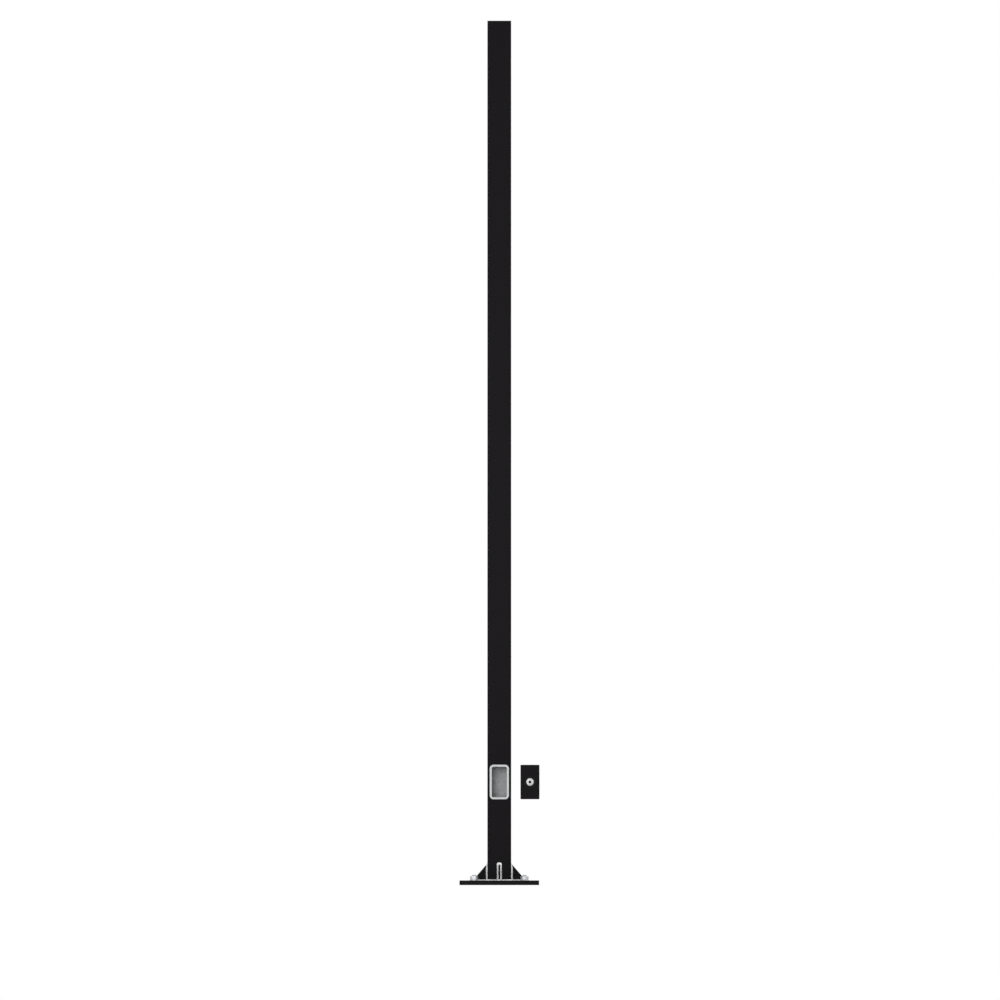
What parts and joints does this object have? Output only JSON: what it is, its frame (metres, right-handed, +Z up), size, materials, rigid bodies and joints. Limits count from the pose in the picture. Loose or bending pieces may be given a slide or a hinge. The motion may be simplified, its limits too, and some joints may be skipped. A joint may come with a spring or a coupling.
{
  "type": "square steel light pole with base plate and hand hole",
  "caption": "Square steel light pole shaft on a gusseted, bolted base plate, with a hand hole and its locking cover taken off beside it.",
  "frame": {"origin": "middle of the base plate's underside, where it lies on the footing at ground level", "axes": "+Z up the shaft, -Y out of the hand hole towards the person who opens it, +X to that person's right"},
  "size_m": [0.3415, 0.3861, 3.69],
  "materials": {
    "black_paint": "semi-gloss black polyester powder coat over steel",
    "cast_aluminium": "bare die-cast aluminium, fine satin",
    "black_rubber": "matte black sealing rubber",
    "stainless_steel": "turned stainless steel",
    "zinc_plate": "bright zinc plated steel strip",
    "galvanised_steel": "hot-dip galvanised steel, dull grey"
  },
  "bodies": {
    "pole": {"shaft": "black_paint", "pole_cap": "black_paint", "base_plate": "black_paint", "gusset_front": "black_paint", "gusset_right": "black_paint", "gusset_back": "black_paint", "gusset_left": "black_paint", "hand_hole_frame": "cast_aluminium", "anchor_bolt_1": "galvanised_steel", "anchor_bolt_2": "galvanised_steel", "anchor_bolt_3": "galvanised_steel", "anchor_bolt_4": "galvanised_steel", "anchor_washer_1": "galvanised_steel", "anchor_washer_2": "galvanised_steel", "anchor_washer_3": "galvanised_steel", "anchor_washer_4": "galvanised_steel", "anchor_nut_1": "galvanised_steel", "anchor_nut_2": "galvanised_steel", "anchor_nut_3": "galvanised_steel", "anchor_nut_4": "galvanised_steel"},
    "cover": {"cover_plate": "black_paint", "lock_seal": "black_rubber", "lock_ring": "stainless_steel"},
    "lock": {"lock_screw": "stainless_steel", "clamp_bar": "zinc_plate"}
  },
  "joints": [
    {"name": "cover_lift", "type": "slide", "parent": "pole", "child": "cover", "axis": [-0.6578, 0.7532, 0], "range_m": [0, 0.19915]},
    {"name": "lock_turn", "type": "hinge", "parent": "cover", "child": "lock", "pos_m": [0.131, -0.2043, 0.44], "axis": [0, 1, 0], "range_deg": [0, 90]}
  ]
}
